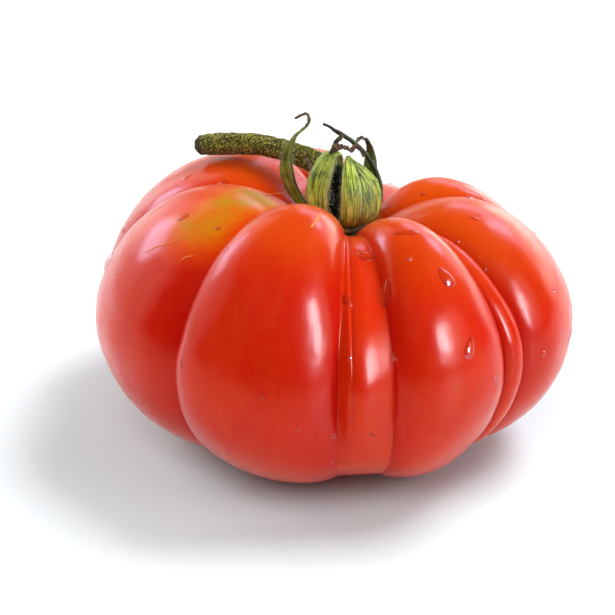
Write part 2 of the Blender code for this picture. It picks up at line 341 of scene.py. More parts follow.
class Nodes:
    """A material's node tree, with short calls for the nodes that these finishes use."""

    def __init__(self, name):
        self.material = bpy.data.materials.new(name)
        self.material.use_nodes = True
        self.tree = self.material.node_tree
        self.shader = self.tree.nodes["Principled BSDF"]
        self.place = self.add("ShaderNodeTexCoord").outputs["Object"]

    def add(self, kind, **settings):
        made = self.tree.nodes.new(kind)
        for key, value in settings.items():
            setattr(made, key, value)
        return made

    def join(self, source, target):
        self.tree.links.new(source, target)

    def stretched(self, source, scale):
        mapping = self.add("ShaderNodeMapping")
        mapping.inputs["Scale"].default_value = scale
        self.join(source, mapping.inputs["Vector"])
        return mapping.outputs["Vector"]

    def noise(self, scale, detail=3.0, roughness=0.5, vector=None):
        made = self.add("ShaderNodeTexNoise")
        made.inputs["Scale"].default_value = scale
        made.inputs["Detail"].default_value = detail
        made.inputs["Roughness"].default_value = roughness
        self.join(vector or self.place, made.inputs["Vector"])
        return made.outputs["Fac"]

    def spots(self, scale, low, high):
        """1 in the middle of scattered spots, 0 between them."""
        made = self.add("ShaderNodeTexVoronoi")
        made.inputs["Scale"].default_value = scale
        self.join(self.place, made.inputs["Vector"])
        return self.ramp(made.outputs["Distance"], ((low, 1.0), (high, 0.0)))

    def ramp(self, source, stops):
        """Turns a value into another through (position, grey or colour) stops."""
        made = self.add("ShaderNodeValToRGB")
        elements = made.color_ramp.elements
        while len(elements) < len(stops):
            elements.new(0.5)
        for element, (position, colour) in zip(elements, stops):
            element.position = position
            element.color = colour if isinstance(colour, tuple) else (colour, colour, colour, 1)
        self.join(source, made.inputs["Fac"])
        return made.outputs["Color"]

    def mix(self, share, first, second):
        made = self.add("ShaderNodeMix", data_type="RGBA")
        for value, socket in ((share, 0), (first, 6), (second, 7)):
            if isinstance(value, (int, float, tuple)):
                made.inputs[socket].default_value = value
            else:
                self.join(value, made.inputs[socket])
        return made.outputs[2]

    def calculate(self, operation, first, second):
        made = self.add("ShaderNodeMath", operation=operation)
        for socket, value in enumerate((first, second)):
            if isinstance(value, (int, float)):
                made.inputs[socket].default_value = value
            else:
                self.join(value, made.inputs[socket])
        return made.outputs["Value"]

    def mask(self, name):
        """A value from 0 to 1 that the mesh carries at each of its points."""
        return self.add("ShaderNodeAttribute", attribute_name=name).outputs["Fac"]

    def bump(self, height, distance, strength=1.0, under=None):
        made = self.add("ShaderNodeBump")
        made.inputs["Distance"].default_value = distance
        made.inputs["Strength"].default_value = strength
        self.join(height, made.inputs["Height"])
        if under is not None:
            self.join(under, made.inputs["Normal"])
        return made.outputs["Normal"]

    def finish(self, colour, roughness, normal=None, **values):
        """Joins the pattern to the shader, and sets the shader's other values by name, with _ for a space."""
        self.join(colour, self.shader.inputs["Base Color"])
        self.join(roughness, self.shader.inputs["Roughness"])
        if normal is not None:
            self.join(normal, self.shader.inputs["Normal"])
        for name, value in values.items():
            self.shader.inputs[name.replace("_", " ")].default_value = value
        return self.material


def tomato_skin():
    """Glossy ripe skin: mottled orange-red, yellow where it ripened last, with painted shade in the furrows
    and throat and painted light low down.
    """
    n = Nodes("tomato_skin")
    broad = n.noise(28, 2.0, 0.5)
    red = n.ramp(broad, ((0.3, rgb(196, 18, 2)), (0.52, rgb(206, 32, 4)), (0.72, rgb(212, 47, 6))))
    fine = n.noise(260, 4.0, 0.65)
    red = n.mix(n.ramp(fine, ((0.4, 0.0), (0.75, 0.25))), red, rgb(214, 64, 9))
    uv = n.add("ShaderNodeUVMap", uv_map="UVMap").outputs["UV"]
    threads = n.noise(1.0, 3.0, 0.6, n.stretched(uv, (240, 14, 1)))
    red = n.mix(n.ramp(threads, ((0.5, 0.0), (0.85, 0.22))), red, rgb(216, 84, 18))
    # Painted light: the low skin is lighter and more orange, as light bounced up from the table.
    red = n.mix(n.mask("low"), red, rgb(214, 54, 14))
    # Painted shade: deeper red down in the furrows of the lobes that bulge most.
    deep = n.ramp(n.mask("open_skin"), ((0.0, 0.95), (0.5, 0.6), (0.98, 0.0)))
    red = n.mix(deep, red, rgb(194, 13, 1))
    shoulder = n.calculate("MULTIPLY", n.mask("shoulder"), n.ramp(broad, ((0.35, 0.45), (0.7, 1.0))))
    red = n.mix(shoulder, red, rgb(218, 96, 10))
    late = n.calculate("MULTIPLY", n.mask("late"), n.ramp(n.noise(70, 4.0, 0.6), ((0.3, 0.55), (0.62, 1.0))))
    unripe = n.ramp(late, ((0.4, rgb(216, 78, 5)), (0.62, rgb(208, 104, 6)), (0.84, rgb(180, 128, 12))))
    red = n.mix(n.ramp(late, ((0.05, 0.0), (0.6, 1.0))), red, unripe)
    rare = n.calculate("MULTIPLY", n.ramp(n.noise(60, 2.0), ((0.5, 0.0), (0.6, 1.0))), n.mask("shoulder"))
    specks = n.calculate("MULTIPLY", n.spots(560, 0.05, 0.12), rare)
    red = n.mix(n.calculate("MULTIPLY", specks, 0.8), red, rgb(240, 168, 60))
    corky = n.ramp(n.noise(900, 4.0, 0.7), ((0.35, rgb(74, 46, 18)), (0.65, rgb(160, 124, 62))))
    red = n.mix(n.mask("cork"), red, corky)
    # Painted shade: nearly black in the throat at the back left, between the sepals.
    red = n.mix(n.mask("throat_shade"), red, rgb(24, 10, 3))
    gloss = n.ramp(n.noise(60, 3.0), ((0.3, 0.2), (0.7, 0.27)))
    gloss = n.mix(n.calculate("ADD", n.mask("cork"), n.mask("throat_shade")), gloss, (0.75, 0.75, 0.75, 1))
    normal = n.bump(n.noise(2600, 2.0), 0.00002, 0.35)
    normal = n.bump(threads, 0.00012, 0.35, normal)
    normal = n.bump(n.mask("cork"), 0.0002, 0.5, normal)
    return n.finish(
        red, gloss, normal, IOR=1.36, Specular_Tint=(1.0, 0.74, 0.5, 1),
        Subsurface_Weight=0.25, Subsurface_Radius=(1.0, 0.12, 0.04), Subsurface_Scale=0.0022,
        Sheen_Weight=0.06, Sheen_Roughness=0.4, Sheen_Tint=(1.0, 0.7, 0.45, 1),
    )


def leaf_green():
    """Green sepals: streaked lengthways, yellower at the root, brown where dry, with painted shade at the
    edges, on shaded sepals and nearly black inside.
    """
    n = Nodes("sepal_green")
    uv = n.add("ShaderNodeUVMap", uv_map="UVMap").outputs["UV"]
    streaks = n.noise(1.0, 5.0, 0.65, n.stretched(uv, (26, 5, 1)))
    patches = n.noise(420, 4.0, 0.6)
    green = n.ramp(streaks, ((0.37, rgb(56, 78, 4)), (0.49, rgb(156, 184, 34)), (0.6, rgb(226, 234, 124))))
    green = n.mix(n.ramp(patches, ((0.36, 0.65), (0.52, 0.0))), green, rgb(56, 74, 8))
    yellower = n.ramp(streaks, ((0.36, rgb(92, 124, 2)), (0.62, rgb(206, 226, 44))))
    green = n.mix(n.calculate("MULTIPLY", n.mask("root"), 0.8), green, yellower)
    green = n.mix(n.mask("edge"), green, rgb(206, 214, 136))
    # Painted shade: a dark line along each sepal's very edge, where one sepal shades the next.
    green = n.mix(n.mask("rim"), green, rgb(34, 42, 8))
    # Painted shade: the sepals that stand in shadow are darker, their dry tips too.
    green = n.mix(n.mask("dark"), green, n.ramp(patches, ((0.3, rgb(30, 38, 8)), (0.7, rgb(74, 86, 26)))))
    dry = n.ramp(patches, ((0.34, rgb(48, 26, 10)), (0.5, rgb(112, 76, 38)), (0.66, rgb(190, 160, 108))))
    dry = n.mix(n.mask("dark"), dry, rgb(44, 26, 11))
    green = n.mix(n.mask("dry"), green, dry)
    # Painted shade: nearly black where tips fold inside and round the root behind the stem.
    green = n.mix(n.mask("inside"), green, rgb(8, 9, 2))
    normal = n.bump(streaks, 0.00025, 0.6)
    normal = n.bump(n.noise(2400, 3.0, 0.7), 0.0001, 0.5, normal)
    return n.finish(
        green, n.ramp(patches, ((0.3, 0.5), (0.7, 0.78))), normal, Specular_IOR_Level=0.28,
        Subsurface_Weight=0.12, Subsurface_Radius=(0.4, 1.0, 0.2), Subsurface_Scale=0.0008,
    )


def stem_green():
    """Rough olive skin with pale and dark flecks, dark and corky at the broken end, painted black as shade in
    the calyx.
    """
    n = Nodes("stem_green")
    flecks = n.noise(2500, 4.0, 0.65)
    patches = n.noise(230, 3.0, 0.6)
    green = n.ramp(patches, ((0.36, rgb(58, 56, 6)), (0.52, rgb(86, 84, 12)), (0.68, rgb(118, 112, 24))))
    green = n.mix(n.ramp(flecks, ((0.42, 0.95), (0.5, 0.0))), green, rgb(24, 22, 2))
    green = n.mix(n.ramp(flecks, ((0.54, 0.0), (0.62, 0.9))), green, rgb(206, 192, 84))
    green = n.mix(n.mask("dry"), green, n.ramp(flecks, ((0.35, rgb(22, 17, 7)), (0.7, rgb(84, 68, 36)))))
    # Painted shade: nearly black where the stem sits down in the calyx.
    green = n.mix(n.mask("calyx_shade"), green, rgb(10, 11, 2))
    normal = n.bump(flecks, 0.0004, 0.8)
    return n.finish(green, n.ramp(flecks, ((0.3, 0.6), (0.7, 0.85))), normal, Specular_IOR_Level=0.15)


def plant_hair():
    """Pale, slightly see-through hairs."""
    n = Nodes("plant_hair")
    tint = n.ramp(n.noise(700, 2.0), ((0.35, rgb(176, 178, 120)), (0.65, rgb(232, 232, 205))))
    return n.finish(
        tint, n.ramp(n.noise(400), ((0.3, 0.45), (0.7, 0.65))),
        Subsurface_Weight=0.2, Subsurface_Radius=(1.0, 1.0, 0.6), Subsurface_Scale=0.0003,
    )


def scar_tissue():
    """The dull orange of a healed scratch."""
    n = Nodes("scar_tissue")
    tint = n.ramp(n.noise(1500, 4.0, 0.7), ((0.3, rgb(218, 96, 26)), (0.7, rgb(240, 156, 60))))
    normal = n.bump(n.noise(2500, 3.0), 0.0001, 0.6)
    return n.finish(tint, n.ramp(n.noise(900), ((0.3, 0.5), (0.7, 0.7))), normal)


def cork():
    """The crumbly brown of the blossom scar."""
    n = Nodes("dry_cork")
    crumbs = n.noise(1100, 5.0, 0.7)
    tint = n.ramp(crumbs, ((0.3, rgb(84, 52, 24)), (0.55, rgb(140, 102, 54)), (0.75, rgb(186, 158, 104))))
    normal = n.bump(n.noise(1800, 4.0), 0.0004, 0.8)
    return n.finish(tint, n.ramp(n.noise(700), ((0.3, 0.7), (0.7, 0.9))), normal)


def water():
    """Water too thin to hide the skin: see-through, with painted light in its middle and painted shade round
    its rim, and a bright hard shine.
    """
    n = Nodes("clear_water")
    # Painted light and shade: the skin's orange seen through the water, lighter in the middle and darker
    # round the rim.
    tint = n.ramp(n.mask("rim"), ((0.4, rgb(232, 74, 10)), (0.95, rgb(190, 26, 2))))
    n.join(n.ramp(n.mask("rim"), ((0.4, 0.34), (0.9, 0.42))), n.shader.inputs["Alpha"])
    return n.finish(tint, n.ramp(n.noise(300), ((0.3, 0.04), (0.7, 0.09))), IOR=2.1)


def white_table():
    """Nearly white, painted a little cooler near the fruit to offset the red light that falls from it on the
    table.
    """
    n = Nodes("white_table")
    near = n.add("ShaderNodeTexGradient", gradient_type="SPHERICAL")
    n.join(n.stretched(n.place, [1 / TABLE_TINT_REACH] * 3), near.inputs["Vector"])
    tint = n.ramp(n.noise(3, 2.0), ((0.3, rgb(244, 248, 249)), (0.7, rgb(247, 250, 250))))
    # Painted cool tint near the fruit, against the red light from it.
    tint = n.mix(n.ramp(near.outputs["Fac"], ((0.0, 0.0), (0.6, 1.0))), tint, rgb(216, 241, 244))
    return n.finish(tint, n.ramp(n.noise(40), ((0.3, 0.42), (0.7, 0.5))))


# Modelling helpers.


def clear_selection():
    """Deselects everything, so that the next operator works on the new piece alone."""
    for other in bpy.context.selected_objects:
        other.select_set(False)


def name_piece(piece, name, material):
    """Gives a piece its name, its one material and smooth shading."""
    piece.name = piece.data.name = name
    piece.data.materials.clear()
    piece.data.materials.append(material)
    piece.data.shade_smooth()
    return piece


def add_ball(segments, rings):
    """A unit UV sphere at the origin, with its UV map."""
    clear_selection()
    bpy.ops.mesh.primitive_uv_sphere_add(segments=segments, ring_count=rings, radius=1, calc_uvs=True)
    return bpy.context.object


def read_places(mesh):
    """The places of a mesh's points, one row for each."""
    places = np.empty(len(mesh.vertices) * 3)
    mesh.vertices.foreach_get("co", places)
    return places.reshape(-1, 3)


def write_places(mesh, places):
    mesh.vertices.foreach_set("co", np.asarray(places, dtype=float).ravel())
    mesh.update()


def set_mask(mesh, name, values):
    """Stores a value from 0 to 1 at each point, for the material to read."""
    layer = mesh.attributes.new(name, "FLOAT", "POINT")
    layer.data.foreach_set("value", np.clip(np.asarray(values, dtype=np.float32), 0, 1))


def join_pieces(pieces):
    clear_selection()
    for piece in pieces:
        piece.select_set(True)
    bpy.context.view_layer.objects.active = pieces[0]
    bpy.ops.object.join()
    return bpy.context.object


# The fruit.


def skin_points(lobe, across, polar):
    """Points of the skin round the fruit's centre, and how far each is from a furrow, from 0 to 1.

    The three arrays give each point's lobe, the share of the way across it, and its polar angle.
    """
    table = np.array(LOBES)
    azimuth, reach, bulge, rise, soft_first, soft_last, fill = table.T
    after = (lobe + 1) % len(LOBES)
    before = (lobe - 1) % len(LOBES)
    width = (azimuth[after] - azimuth[lobe]) % 360
    angle = np.radians(azimuth[lobe] + width * across)
    easy = across * across * (3 - 2 * across)
    soft = soft_first[lobe] * (1 - across) + soft_last[lobe] * across
    arch = np.sqrt(np.maximum(4 * across * (1 - across), 0) + soft**2) - soft
    arch = arch / (np.sqrt(1 + soft**2) - soft)
    low = smooth_step(0, FILL_SPAN, -np.cos(polar))
    first_reach = reach[lobe] + low * fill[lobe]
    last_reach = reach[after] + low * fill[after]
    swell = np.maximum(bulge[lobe] - low * (fill[lobe] + fill[after]) / 2, 0)
    core = first_reach + (last_reach - first_reach) * easy
    furrow_rise = FURROW_SHARE * (
        (rise[lobe] + rise[before]) / 2 * (1 - easy) + (rise[lobe] + rise[after]) / 2 * easy
    )
    shoulder_rise = furrow_rise + (rise[lobe] - furrow_rise) * arch

    sine, cosine = np.sin(polar), np.cos(polar)
    exponent = 2 - PROFILE_SWAY * cosine
    flat = np.abs(sine) ** (2 / exponent)
    tall = np.sign(cosine) * np.abs(cosine) ** (2 / exponent)
    out = flat ** (exponent - 1) / core
    up = np.sign(tall) * np.abs(tall) ** (exponent - 1) / HALF_HEIGHT
    length = np.hypot(out, up) + 1e-9
    lift = swell * arch * np.abs(sine) ** BULGE_FADE
    radius = core * flat + lift * out / length
    height = HALF_HEIGHT * tall + lift * up / length
    top = cosine > 0
    height = height + np.where(top, shoulder_rise * 4 * sine**2 * cosine**2, 0)
    height = height - np.where(top, PIT_DEPTH * np.exp(-((radius / PIT_RADIUS) ** 2)), 0)
    height = height - np.where(top, THROAT_DEPTH * np.exp(-((radius / THROAT_RADIUS) ** 2)), 0)
    height = height + np.where(top, 0, DIMPLE_DEPTH * np.exp(-((radius / DIMPLE_RADIUS) ** 2)))
    # How open the skin is, for the painted furrow shade: 0 down in a deep furrow, 1 on open skin.
    open_skin = 1 - (1 - arch) * np.minimum(swell / OPEN_BULGE, 1)
    return np.stack((radius * np.sin(angle), -radius * np.cos(angle), height), axis=-1), open_skin


def share_columns():
    """Which lobe each meridian of the ball falls in, and how far across it. They gather at the furrows."""
    widths = [(LOBES[(k + 1) % len(LOBES)][0] - LOBES[k][0]) % 360 for k in range(len(LOBES))]
    counts = [max(FEWEST_COLUMNS, round(width / 360 * COLUMNS)) for width in widths]
    counts[0] += COLUMNS - sum(counts)
    lobe, across = [], []
    for number, count in enumerate(counts):
        for column in range(count):
            lobe.append(number)
            across.append((1 - math.cos(math.pi * column / count)) / 2)
    return np.array(lobe), np.array(across)


def make_fruit():
    """A ball whose points are moved to the ribbed skin, with masks for its colours."""
    fruit = add_ball(COLUMNS, RINGS)
    places = read_places(fruit.data)
    turn = np.arctan2(places[:, 0], -places[:, 1]) / math.tau
    column = np.floor(turn * COLUMNS + 0.25).astype(int) % COLUMNS
    polar = np.arccos(np.clip(places[:, 2], -1, 1))
    lobe_of, across_of = share_columns()
    points, open_skin = skin_points(lobe_of[column], across_of[column], polar)
    radius = np.hypot(points[:, 0], points[:, 1])
    azimuth = np.degrees(np.arctan2(points[:, 0], -points[:, 1]))

    # Small unevenness, fading out where the fruit stands and round its axis.
    swell = np.array([sum(height * rough(p, size, seed) for height, size, seed in LUMPS) for p in points])
    swell *= smooth_step(0.5, 6, points[:, 2] + CENTRE_HEIGHT)
    swell *= smooth_step(3, 12, radius)
    outward = points / (np.linalg.norm(points, axis=1, keepdims=True) + 1e-9)
    points = points + outward * swell[:, None]
    points += np.array((AXIS_X, AXIS_Y, CENTRE_HEIGHT))
    points[:, 2] = np.maximum(points[:, 2], 0)
    write_places(fruit.data, points * MM)

    # The furrows' painted shade.
    set_mask(fruit.data, "open_skin", np.where(np.sin(polar) > 0.02, open_skin, 1))
    # The low skin's painted light from the table.
    set_mask(fruit.data, "low", smooth_step(*BOUNCE_LIGHT_HEIGHTS, points[:, 2]) * BOUNCE_LIGHT_STRENGTH)
    leaning = points @ np.array(SHOULDER_WAY)
    set_mask(fruit.data, "shoulder", smooth_step(*SHOULDER_HEIGHTS, leaning) * SHOULDER_STRENGTH)
    first, last = np.array(PATCH_LINE)
    share = np.clip((points - first) @ (last - first) / ((last - first) @ (last - first)), 0, 1)
    away = np.linalg.norm(points - first - share[:, None] * (last - first), axis=1)
    set_mask(fruit.data, "late", smooth_step(*PATCH_RADII, away))
    upper = polar < math.pi / 2
    throat = smooth_step(*THROAT_CORK_RADII, radius) * upper
    star = radius + BLOSSOM_WAVE * np.cos(BLOSSOM_POINTS * turn * math.tau)
    set_mask(fruit.data, "cork", throat + smooth_step(*BLOSSOM_CORK_RADII, star) * (polar > math.pi / 2))
    # Painted shade, nearly black, in the throat at the back left.
    throat_shade = smooth_step(*THROAT_SHADE_RADII, radius) * smooth_step(*THROAT_SHADE_AZIMUTHS, azimuth) * upper
    set_mask(fruit.data, "throat_shade", throat_shade)
    name_piece(fruit, "tomato_fruit", tomato_skin())
    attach(fruit, "root")
    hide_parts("fruit")
    return fruit


# The calyx.


def sepal_frame(row, along):
    """The midrib's point, the way across the blade and the way out of its face, part of the way along."""
    azimuth, _, _, _, root_turn, tip_turn, _, _, path = row
    angle = math.radians(azimuth)
    outwards = Vector((math.sin(angle), -math.cos(angle), 0))
    sideways = Vector((math.cos(angle), math.sin(angle), 0))

    def place(share):
        out, up, side = spline(path, share)
        return outwards * out + Vector((0, 0, up)) + sideways * side

    forwards = (place(min(along + 0.01, 1)) - place(max(along - 0.01, 0))).normalized()
    level = (sideways - forwards * sideways.dot(forwards)).normalized()
    inwards = forwards.cross(level)
    turn = math.radians(root_turn + (tip_turn - root_turn) * along)
    blade = level * math.cos(turn) + inwards * math.sin(turn)
    return place(along), blade, forwards.cross(blade)


def make_sepal(number, row, material):
    """A blade with raised veins and a wavy edge, crinkled where it has dried, given its thickness."""
    azimuth, width, outline, cupping, _, _, dry_from, dark, _ = row
    clear_selection()
    bpy.ops.mesh.primitive_grid_add(
        x_subdivisions=SEPAL_COLUMNS, y_subdivisions=SEPAL_ROWS, size=2, calc_uvs=True
    )
    sepal = bpy.context.object
    masks = {"root": [], "edge": [], "rim": [], "dry": [], "dark": [], "inside": []}
    for vertex in sepal.data.vertices:
        along, across = (vertex.co.y + 1) / 2, vertex.co.x
        middle, blade, face = sepal_frame(row, along)
        half = width / 2 * spline_value(outline, along)
        dry = float(smooth_step(dry_from - 0.06, dry_from + 0.12, along))
        jitter = 1 + 0.1 * rough((along * 40, across * 2, number * 9), 3.0)
        jitter += 0.3 * dry * rough((along * 60, 0, number), 2.2)
        point = middle + blade * half * jitter * across + face * cupping * half * across**2
        vein = VEIN_HEIGHT * math.cos(across * math.pi * 3) * (1 - 0.6 * dry) * min(1, half / 1.2)
        wave = WAVE_HEIGHT * across**2 * rough((along * 50, across * 3, number * 5), 3.2)
        crinkle = dry * CRINKLE_HEIGHT * rough((along * 70, across * 2, number * 7), 2.4)
        point += face * (vein + wave + crinkle)
        vertex.co = (point + SEAT) * MM
        masks["root"].append(1 - float(smooth_step(0.1, 0.42, along)))
        masks["edge"].append(float(smooth_step(0.65, 0.85, abs(across))) * 0.5)
        # Painted shade: the rim mask darkens the very edge.
        masks["rim"].append(float(smooth_step(0.9, 1.0, abs(across))) * 0.8)
        masks["dry"].append(dry)
        # The dark mask is the sepal's painted shade.
        masks["dark"].append(dark)
        # The inside mask carries painted shade where a tip folds in or a root lies behind the stem.
        reach = math.hypot(point.x, point.y)
        if azimuth < BEHIND_AZIMUTH:
            inside = smooth_step(*BEHIND_RADII, reach)
        elif along > FOLDED_FROM:
            inside = smooth_step(*FOLDED_RADII, reach) * smooth_step(*FOLDED_HEIGHTS, point.z)
        else:
            inside = 0
        masks["inside"].append(float(inside))
    for name, values in masks.items():
        set_mask(sepal.data, name, values)
    thickness = sepal.modifiers.new("thickness", "SOLIDIFY")
    thickness.thickness = SEPAL_THICKNESS * MM
    thickness.offset = 0
    bpy.ops.object.modifier_apply(modifier=thickness.name)
    return name_piece(sepal, f"sepal_{number}", material)


def make_disc(material):
    """The lumpy cushion in the pit that the sepals grow from."""
    disc = add_ball(48, 24)
    places = []
    for x, y, z in read_places(disc.data):
        depth = DISC_RISE if z > 0 else DISC_SINK
        lump = 1 + 0.08 * rough((x * 6, y * 6, z * 3), 2.2, 4.0)
        places.append((x * DISC_RADIUS * lump, y * DISC_RADIUS * lump, DISC_HEIGHT + z * depth))
    write_places(disc.data, (np.array(places) + np.array(SEAT)) * MM)
    # The cushion takes a little of the sepals' painted shade, and the inside mask darkens its middle with
    # more.
    for name, value in (("root", 1), ("edge", 0), ("rim", 0), ("dry", 0.85), ("dark", 0.1)):
        set_mask(disc.data, name, np.full(len(places), value))
    shade = [float(smooth_step(*DISC_SHADE_RADII, math.hypot(x, y))) for x, y, _ in places]
    set_mask(disc.data, "inside", shade)
    return name_piece(disc, "calyx_disc", material)


def make_calyx():
    """The cushion, its sepals and the shrivelled threads, in one piece."""
    green = leaf_green()
    leaves = [make_disc(green)] + [make_sepal(k, row, green) for k, row in enumerate(SEPALS + CURLS)]
    calyx = join_pieces(leaves)
    calyx.name = calyx.data.name = "calyx_leaves"
    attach(calyx, "root")
    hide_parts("calyx")


# The stem.


def stem_frame(share):
    """The middle of the stem part of the way along, and two ways out of it."""
    middle = spline(STEM_PATH, share)
    ahead, behind = spline(STEM_PATH, min(share + 0.01, 1)), spline(STEM_PATH, max(share - 0.01, 0))
    forwards = (ahead - behind).normalized()
    side = forwards.cross(Vector((0, 0, 1)) if abs(forwards.z) < 0.9 else Vector((0, 1, 0))).normalized()
    return middle, side, side.cross(forwards)


def stem_surface(share, turn):
    """A point of the stem's bark and the way out of it."""
    middle, side, over = stem_frame(share)
    out = side * math.cos(turn) + over * math.sin(turn)
    radius = spline_value(STEM_RADII, share)
    radius *= math.sqrt(max(1 - (max(share - END_ROUNDS_FROM, 0) / END_SPAN) ** 2, 0))
    ridges = 0.07 * math.cos(7 * turn + 3 * share) + 0.05 * math.cos(3 * turn - 9 * share)
    warts = 0.2 * rough((middle + out * 2.6), 1.5, 5.5) + 0.16 * rough((middle + out * 2.6), 3.4, 2.5)
    return middle + out * max(radius + (ridges + warts) * min(1.0, radius / 1.2), 0), out


def make_stem():
    """A ball drawn out along the stem's path, with its first and last rings as the two ends."""
    stem = add_ball(STEM_COLUMNS, STEM_RINGS)
    places, dry, calyx_shade = [], [], []
    for x, y, z in read_places(stem.data):
        share = math.acos(max(-1, min(1, z))) / math.pi
        share = min(max((share - STEM_CAP) / STEM_BODY, 0), 1)
        point, _ = stem_surface(share, math.atan2(y, x))
        if abs(z) > 0.999999:
            point, _, _ = stem_frame(share)
        places.append((point + SEAT) * MM)
        dry.append(float(smooth_step(*DRY_STEM, share)))
        # Painted shade where the stem sits in the calyx.
        calyx_shade.append(float(smooth_step(*SHADED_STEM, share)))
    write_places(stem.data, np.array(places))
    set_mask(stem.data, "dry", dry)
    set_mask(stem.data, "calyx_shade", calyx_shade)
    name_piece(stem, "stem_stalk", stem_green())
    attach(stem, "root")
    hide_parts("stem")


# Hairs, each a spike with three sides.


def make_hairs(name, roots, material):
    """Copies one thin cone to each root: a point, the way it leans, its length and its thickness."""
    clear_selection()
    bpy.ops.mesh.primitive_cone_add(vertices=3, radius1=1, radius2=0, depth=1, end_fill_type="NGON")
    spike = bpy.context.object
    shape = [v.co + Vector((0, 0, 0.5)) for v in spike.data.vertices]
    faces = [tuple(p.vertices) for p in spike.data.polygons]
    places, sides = [], []
    for point, lean, length, thick in roots:
        turn = Vector((0, 0, 1)).rotation_difference(lean)
        first = len(places)
        for corner in shape:
            scaled = Vector((corner.x * thick, corner.y * thick, corner.z * length))
            places.append((turn @ scaled + point) * MM)
        sides += [tuple(first + k for k in face) for face in faces]
    bpy.data.objects.remove(spike)
    mesh = bpy.data.meshes.new(name)
    mesh.from_pydata(places, [], sides)
    hairs = bpy.data.objects.new(name, mesh)
    bpy.context.scene.collection.objects.link(hairs)
    name_piece(hairs, name, material)
    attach(hairs, "root")


def calyx_hair_roots(dice):
    """Hairs along both edges of each sepal, and fewer on its two faces."""
    roots = []
    for row in SEPALS:
        _, width, outline, cupping, _, _, _, _, _ = row
        for step in range(HAIR_STEPS):
            along = 0.1 + 0.8 * (step + dice.random()) / HAIR_STEPS
            middle, blade, face = sepal_frame(row, along)
            half = width / 2 * spline_value(outline, along)
            for edge in (-1, 1):
                if dice.random() < 0.2:
                    continue
                point = middle + blade * half * edge * 0.98 + face * cupping * half
                lean = blade * edge + face * dice.uniform(-0.7, 0.7) + Vector((0, 0, dice.uniform(-0.4, 0.4)))
                roots.append((point + SEAT, lean.normalized(), dice.uniform(*EDGE_HAIR_LENGTHS), EDGE_HAIR))
            if dice.random() < 0.6:
                across = dice.uniform(-0.8, 0.8)
                side = dice.choice((-1, 1))
                point = middle + blade * half * across + face * (cupping * half * across**2 + 0.2 * side)
                lean = face * side + blade * dice.uniform(-0.5, 0.5)
                roots.append((point + SEAT, lean.normalized(), dice.uniform(*FACE_HAIR_LENGTHS), FACE_HAIR))
    return roots


def stem_hair_roots(dice):
    """Hairs all over the stem, each leaning its own way."""
    roots = []
    for _ in range(STEM_HAIRS):
        share = dice.uniform(0.06, 0.97)
        point, out = stem_surface(share, dice.uniform(0, math.tau))
        lean = out + Vector((dice.uniform(-0.5, 0.5), dice.uniform(-0.5, 0.5), dice.uniform(-0.5, 0.5)))
        root = point - out * 0.1 + SEAT
        roots.append((root, lean.normalized(), dice.uniform(*STEM_HAIR_LENGTHS), FACE_HAIR))
    return roots


# The camera, and where its pixels fall on the fruit.


def camera_axes():
    """The ways back, right and up, as the camera is turned towards the fruit's centre."""
    drop = math.radians(CAMERA_DROP)
    back = Vector((0, -math.cos(drop), math.sin(drop)))
    right = Vector((1, 0, 0))
    return back, right, right.cross(-back)


def centre():
    return Vector((AXIS_X, AXIS_Y, CENTRE_HEIGHT)) * MM


def camera_place():
    return centre() + camera_axes()[0] * CAMERA_DISTANCE * MM


def pixel_way(x, y):
    """From the camera, the way to a pixel of the picture."""
    back, right, up = camera_axes()
    focal = PIXELS_PER_MM * CAMERA_DISTANCE
    aside, below = (x - CENTRE_PIXEL[0]) / focal, (y - CENTRE_PIXEL[1]) / focal
    return (-back + right * aside - up * below).normalized()


def make_camera():
    camera = bpy.data.objects.new("camera", bpy.data.cameras.new("camera"))
    bpy.context.scene.collection.objects.link(camera)
    camera.location = camera_place()
    camera.rotation_mode = "QUATERNION"
    camera.rotation_quaternion = pixel_way(PICTURE / 2, PICTURE / 2).to_track_quat("-Z", "Y")
    camera.data.sensor_width = SENSOR
    camera.data.lens = PIXELS_PER_MM * CAMERA_DISTANCE * SENSOR / PICTURE
    camera.data.clip_start = 0.02
    bpy.context.scene.camera = camera


# Water and marks on the skin.


def make_drop(number, tree, spot, normal, long_way, half_long, half_wide):
    """A low cap of water on the skin, fuller at its lower end, with its underside just inside the skin.

    The way along it points to that end. Its half length and half width are in millimetres.
    """
    clear_selection()
    bpy.ops.mesh.primitive_uv_sphere_add(segments=32, ring_count=20, radius=1)
    drop = bpy.context.object
    across = normal.cross(long_way).normalized()
    height = DROP_HEIGHT * min(half_long, half_wide)
    places, rim = [], []
    for vertex in drop.data.vertices:
        x, y, z = vertex.co
        angle = math.atan2(y, x)
        wobble = 1 + 0.1 * rough((math.cos(angle) * 2, math.sin(angle) * 2, number * 4), 1.6)
        width = half_wide * (1 + 0.24 * y) * wobble
        offset = (across * x * width + long_way * y * half_long * wobble) * MM
        found, _, _, _ = tree.ray_cast(spot + offset + normal * 3 * MM, -normal)
        depth = (found - spot).dot(normal) / MM if found else -0.5 * half_wide
        dome = (1 - x * x - y * y) * (1 + 0.3 * y)
        if z >= 0:
            depth = max(-0.6 * half_wide, min(0.3 * half_wide, depth))
            lift = height * max(dome, 0) - DROP_SINK
        else:
            lift = -DROP_SINK - 0.3 * abs(z)
        places.append((spot + offset) / MM + normal * (depth + lift))
        # The rim mask grades the water's painted shade, darkest round its edge.
        rim.append(math.hypot(x, y) if z >= 0 else 1)
    write_places(drop.data, np.array(places) * MM)
    set_mask(drop.data, "rim", rim)
    return drop


